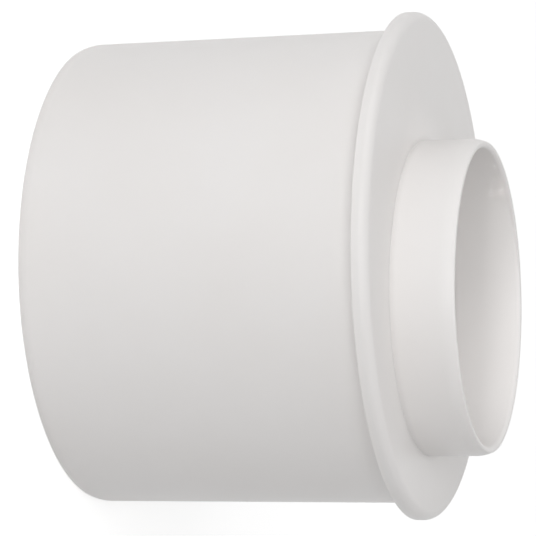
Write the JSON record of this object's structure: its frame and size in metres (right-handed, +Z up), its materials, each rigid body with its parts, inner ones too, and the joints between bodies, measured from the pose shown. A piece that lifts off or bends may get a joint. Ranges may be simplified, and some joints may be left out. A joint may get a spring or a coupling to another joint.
{
  "type": "pipe reducer",
  "caption": "Eccentric duct reducer in white plastic: a long large spigot closed by a round flange, with a short smaller spigot standing off-centre on the flange's face.",
  "frame": {"origin": "centre of the large spigot's open rim, in the plane that the fitting stands on", "axes": "+Z up along the large spigot's axis, from its open rim to the flange; +X from that axis to the small spigot's axis"},
  "size_m": [0.16, 0.16, 0.1298],
  "materials": {
    "white_plastic": "smooth moulded, semi-gloss, slightly warm white"
  },
  "bodies": {
    "root": {"reducer": "white_plastic"}
  },
  "joints": []
}
